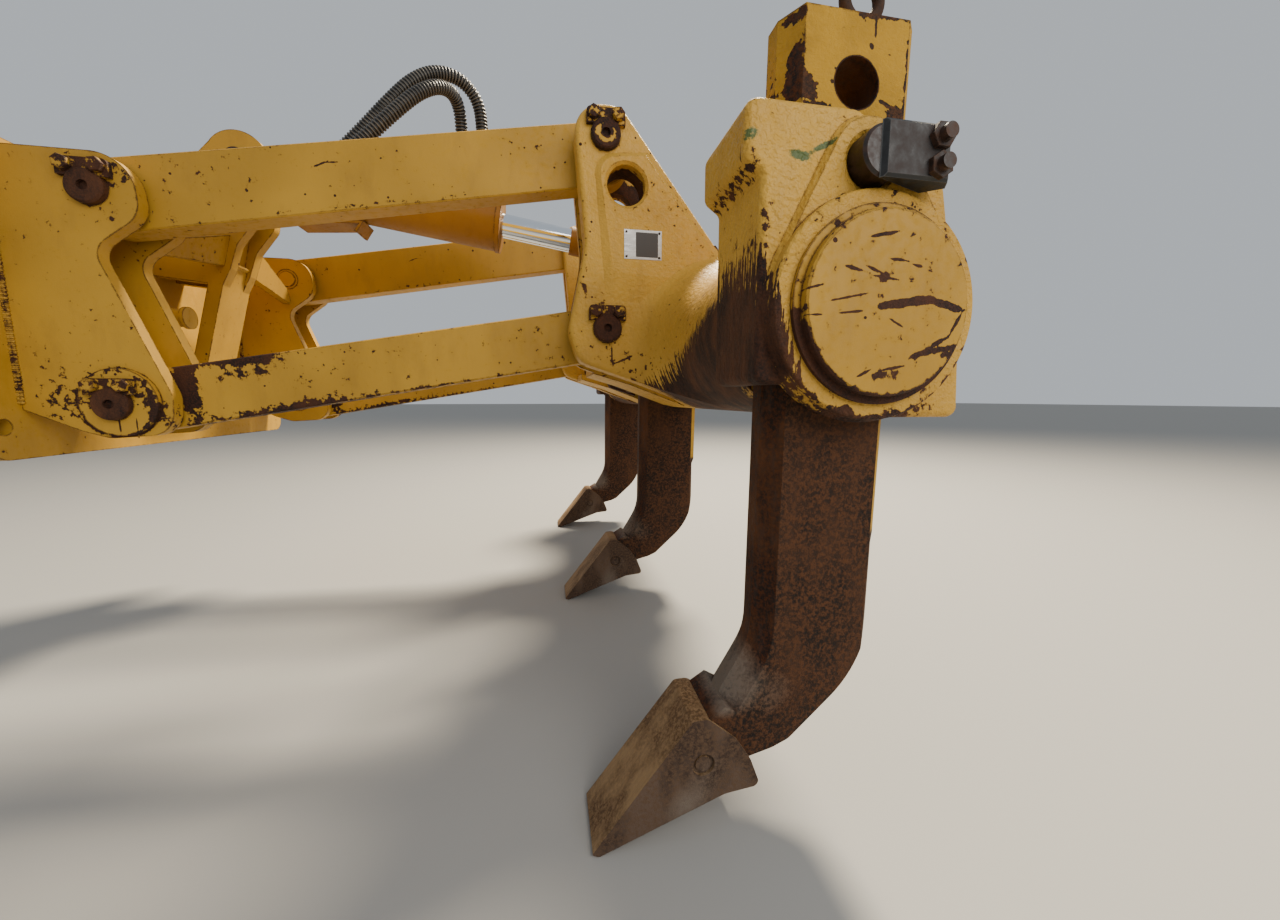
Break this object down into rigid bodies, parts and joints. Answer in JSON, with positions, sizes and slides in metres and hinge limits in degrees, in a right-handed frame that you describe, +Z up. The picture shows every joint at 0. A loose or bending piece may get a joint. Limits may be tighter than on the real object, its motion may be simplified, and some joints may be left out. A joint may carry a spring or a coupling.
{
  "type": "three-shank parallelogram ripper for a crawler tractor",
  "caption": "Rear parallelogram ripper: bracket, parallel links, lift cylinder and a torsion-tube beam with pinned curved shanks and tips.",
  "frame": {"origin": "centre of the flat face that bolts to the tractor's rear", "axes": "+X to the rear, away from the tractor; +Y to the tractor's right-hand side; +Z up"},
  "size_m": [1.805, 2.3186, 1.7551],
  "materials": {
    "yellow_paint": "weathered semi-gloss machine paint, chipped to rust at edges",
    "worn_paint": "paint worn through to brown rusted steel",
    "worn_cast_steel": "earth-worn cast steel, brown",
    "pin_steel": "greased dark steel",
    "keeper_steel": "dark scaled steel",
    "rod_chrome": "hard chrome",
    "hose_rubber": "black spiral hose guard"
  },
  "bodies": {
    "mount": {"mount_back_plate": "yellow_paint", "mount_post": "yellow_paint", "front_pins": "pin_steel", "front_pin_keepers": "keeper_steel", "cylinder_base_pin": "pin_steel", "hose_bulkhead": "yellow_paint", "mount_outer_plate_left": "yellow_paint", "mount_inner_plate_left": "yellow_paint", "mount_deck_left": "yellow_paint", "mount_outer_plate_right": "yellow_paint", "mount_inner_plate_right": "yellow_paint", "mount_deck_right": "yellow_paint"},
    "lower_link_left": {"lower_link_left": "yellow_paint"},
    "lower_link_right": {"lower_link_right": "yellow_paint"},
    "upper_link_left": {"upper_link_left": "yellow_paint"},
    "upper_link_right": {"upper_link_right": "yellow_paint"},
    "beam": {"rear_pins": "pin_steel", "rear_pin_keepers": "keeper_steel", "tip_pins": "worn_cast_steel", "lifting_eyes": "worn_paint", "eye_pin_ends": "pin_steel", "beam_left": "yellow_paint", "end_cap_left": "yellow_paint", "beam_right": "yellow_paint", "end_cap_right": "yellow_paint", "pocket_left": "yellow_paint", "shank_left": "worn_paint", "tip_left": "worn_cast_steel", "shank_pin_left": "pin_steel", "keeper_block_left": "keeper_steel", "pocket_middle": "yellow_paint", "shank_middle": "worn_paint", "tip_middle": "worn_cast_steel", "shank_pin_middle": "pin_steel", "keeper_block_middle": "keeper_steel", "pocket_right": "yellow_paint", "shank_right": "worn_paint", "tip_right": "worn_cast_steel", "shank_pin_right": "pin_steel", "keeper_block_right": "keeper_steel"},
    "barrel": {"cylinder_barrel": "yellow_paint", "hose_outer": "hose_rubber", "hose_inner": "hose_rubber"},
    "rod": {"cylinder_rod": "rod_chrome", "rod_eye": "yellow_paint"}
  },
  "joints": [
    {"name": "lift", "type": "hinge", "parent": "mount", "child": "lower_link_left", "pos_m": [0.235, -0.394, -0.223], "axis": [0, -1, 0], "range_deg": [-26, 29]},
    {"name": "lower_link_right_pivot", "type": "hinge", "parent": "mount", "child": "lower_link_right", "pos_m": [0.235, 0.394, -0.223], "axis": [0, -1, 0], "range_deg": [-34, 34]},
    {"name": "upper_link_left_pivot", "type": "hinge", "parent": "mount", "child": "upper_link_left", "pos_m": [0.235, -0.394, 0.227], "axis": [0, -1, 0], "range_deg": [-34, 34]},
    {"name": "upper_link_right_pivot", "type": "hinge", "parent": "mount", "child": "upper_link_right", "pos_m": [0.235, 0.394, 0.227], "axis": [0, -1, 0], "range_deg": [-34, 34]},
    {"name": "beam_pivot", "type": "hinge", "parent": "lower_link_left", "child": "beam", "pos_m": [1.31911, -0.394, -0.03672], "axis": [0, -1, 0], "range_deg": [-34, 34]},
    {"name": "barrel_pivot", "type": "hinge", "parent": "mount", "child": "barrel", "pos_m": [0.308, 0, 0.472], "axis": [0, -1, 0], "range_deg": [-34, 34], "deforming": ["hose_outer", "hose_inner"]},
    {"name": "rod_slide", "type": "slide", "parent": "barrel", "child": "rod", "axis": [0.9886, 0, -0.1505], "range_m": [-0.19, 0.17]}
  ],
  "couplings": [
    {"joint": "lower_link_right_pivot", "follows": "lift", "ratio": 1},
    {"joint": "upper_link_left_pivot", "follows": "lift", "ratio": 1},
    {"joint": "upper_link_right_pivot", "follows": "lift", "ratio": 1},
    {"joint": "beam_pivot", "follows": "lift", "ratio": -1},
    {"joint": "barrel_pivot", "follows": "lift", "ratio": 0.98},
    {"joint": "rod_slide", "follows": "lift", "m_per_rad": -0.34}
  ]
}
